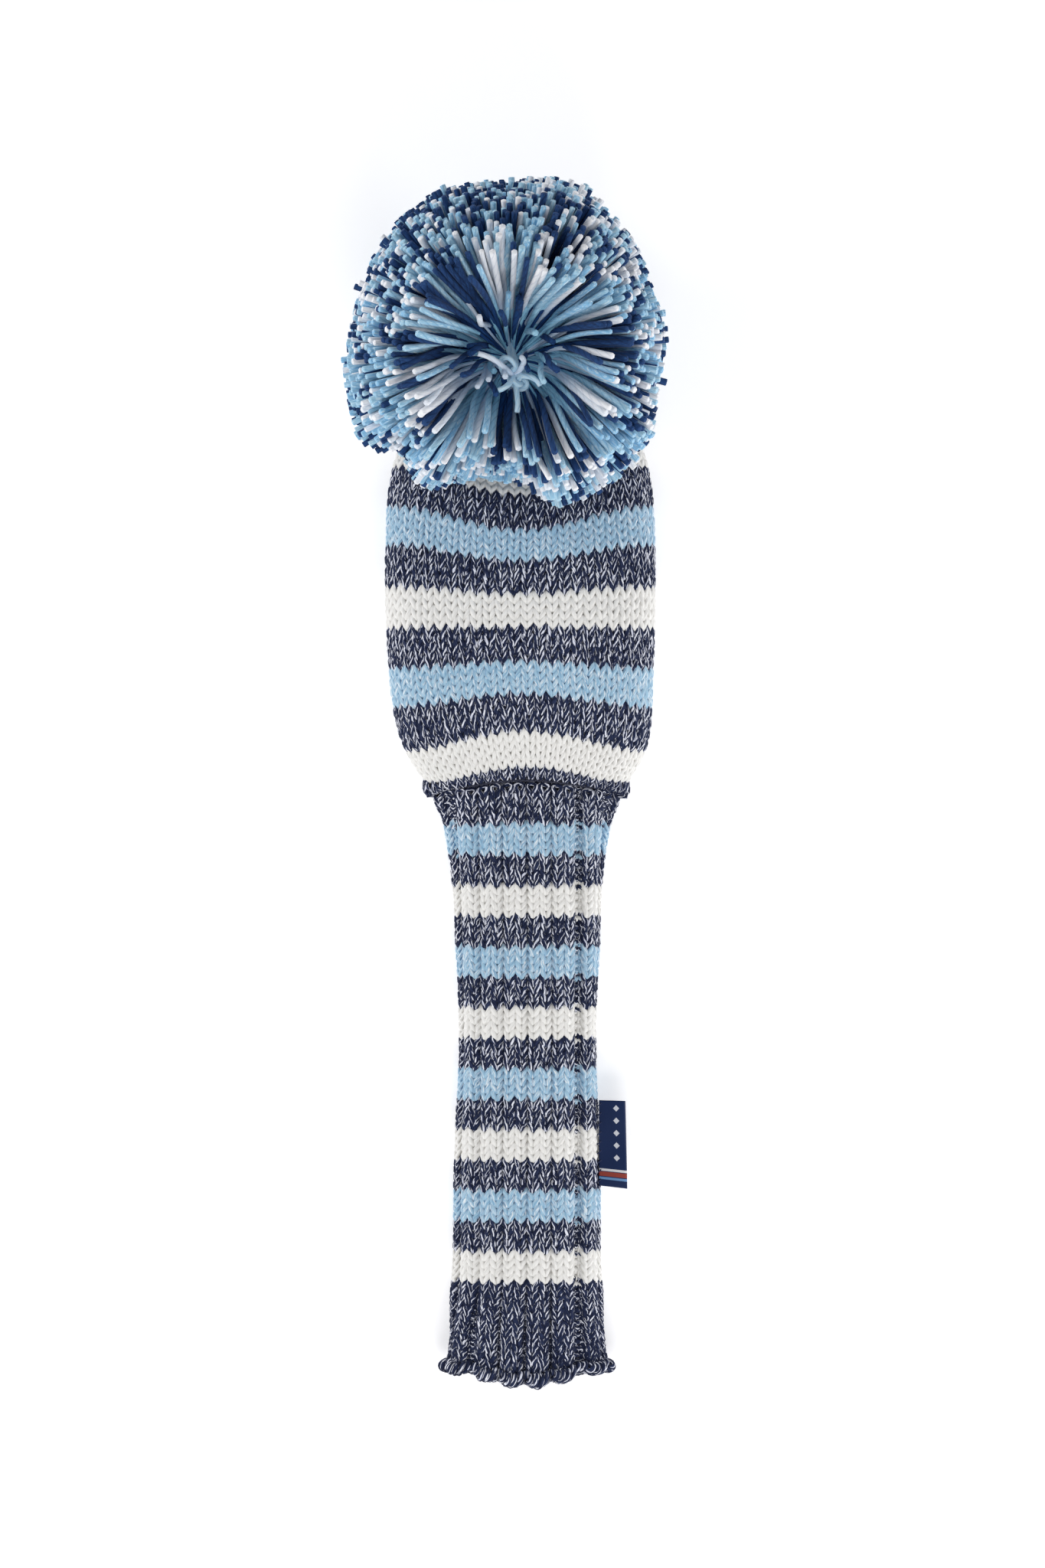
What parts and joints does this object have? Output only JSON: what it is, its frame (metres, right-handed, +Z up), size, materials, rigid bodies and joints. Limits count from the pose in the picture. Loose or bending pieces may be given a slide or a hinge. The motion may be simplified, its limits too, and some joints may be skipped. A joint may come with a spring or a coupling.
{
  "type": "golf club head cover",
  "caption": "Knitted driver head cover in navy, blue and cream stripes, with a long ribbed sleeve and a large cut-yarn pom-pom on its crown.",
  "frame": {"origin": "centre of the sleeve's mouth, where the club goes in, with the cover lying on its back", "axes": "+Y along the cover from the sleeve's mouth to the pom-pom, +X to the label's side, +Z up from the surface the cover lies on"},
  "size_m": [0.114, 0.4355, 0.1181],
  "materials": {
    "navy_marl_yarn": "matt plied yarn, navy with pale lilac flecks",
    "light_blue_yarn": "matt plied yarn, light blue",
    "cream_yarn": "matt plied yarn, warm white",
    "linking_thread": "matt dark thread",
    "elastic": "flat braided elastic",
    "sewing_thread": "fine twisted thread",
    "fleece_lining": "brushed fleece",
    "pompom_yarn": "cut plied yarn in navy, light blue and pale lilac",
    "tie_yarn": "plied yarn, blue",
    "woven_label": "tight satin weave, navy with thin white, red and blue bars"
  },
  "bodies": {
    "head": {"head_navy_1": "navy_marl_yarn", "head_cream_1": "cream_yarn", "head_navy_2": "navy_marl_yarn", "head_blue_1": "light_blue_yarn", "head_navy_3": "navy_marl_yarn", "head_cream_2": "cream_yarn", "head_navy_4": "navy_marl_yarn", "head_blue_2": "light_blue_yarn", "head_navy_5": "navy_marl_yarn", "crown_cream": "cream_yarn", "crown_navy": "navy_marl_yarn", "crown_blue": "light_blue_yarn", "crown_gather_navy": "navy_marl_yarn", "sleeve_navy_7": "navy_marl_yarn", "sleeve_blue_4": "light_blue_yarn", "collar_navy": "navy_marl_yarn", "linking_thread": "linking_thread", "elastic_band": "elastic", "band_stitching": "sewing_thread", "head_lining": "fleece_lining", "crown_gather_thread": "linking_thread", "anchor_knot": "tie_yarn", "crown_loop": "tie_yarn"},
    "upper_sleeve": {"sleeve_cream_3": "cream_yarn", "sleeve_navy_5": "navy_marl_yarn", "sleeve_blue_3": "light_blue_yarn", "sleeve_navy_6": "navy_marl_yarn", "sleeve_cream_4": "cream_yarn"},
    "lower_sleeve": {"cast_on_edge": "navy_marl_yarn", "cuff_navy": "navy_marl_yarn", "sleeve_cream_1": "cream_yarn", "sleeve_navy_1": "navy_marl_yarn", "sleeve_blue_1": "light_blue_yarn", "sleeve_navy_2": "navy_marl_yarn", "sleeve_cream_2": "cream_yarn", "sleeve_navy_3": "navy_marl_yarn", "sleeve_blue_2": "light_blue_yarn", "sleeve_navy_4": "navy_marl_yarn"},
    "pompom_tie": {"pompom_hanger": "tie_yarn"},
    "pompom": {"pompom_yarn": "pompom_yarn", "pompom_binding": "tie_yarn", "pompom_knot": "tie_yarn"},
    "label": {"side_label": "woven_label", "label_stitching": "sewing_thread"}
  },
  "joints": [
    {"name": "neck_bend", "type": "hinge", "parent": "head", "child": "upper_sleeve", "pos_m": [0.0003, 0.1767, -0.001], "axis": [0, 0, 1], "range_deg": [-28, 28], "stiffness_Nm_per_rad": 0.05, "deforming": ["sleeve_navy_6", "sleeve_cream_4", "sleeve_navy_7"]},
    {"name": "sleeve_bend", "type": "hinge", "parent": "upper_sleeve", "child": "lower_sleeve", "pos_m": [0.0004, 0.1215, -0.001], "axis": [0, 0, 1], "range_deg": [-28, 28], "stiffness_Nm_per_rad": 0.05, "deforming": ["sleeve_blue_2", "sleeve_navy_4", "sleeve_cream_3"]},
    {"name": "pompom_tilt", "type": "hinge", "parent": "head", "child": "pompom_tie", "pos_m": [-0.0023, 0.366, 0.0004], "axis": [-1, 0, 0], "range_deg": [0, 75], "stiffness_Nm_per_rad": 0.12},
    {"name": "pompom_twist", "type": "hinge", "parent": "pompom_tie", "child": "pompom", "pos_m": [-0.0073, 0.3785, 0.0489], "axis": [-0.0993, 0.2483, 0.9636], "range_deg": [-60, 60]},
    {"name": "label_flap", "type": "hinge", "parent": "lower_sleeve", "child": "label", "pos_m": [0.0293, 0.0885, -0.001], "axis": [0, 1, 0], "range_deg": [-50, 50]}
  ]
}
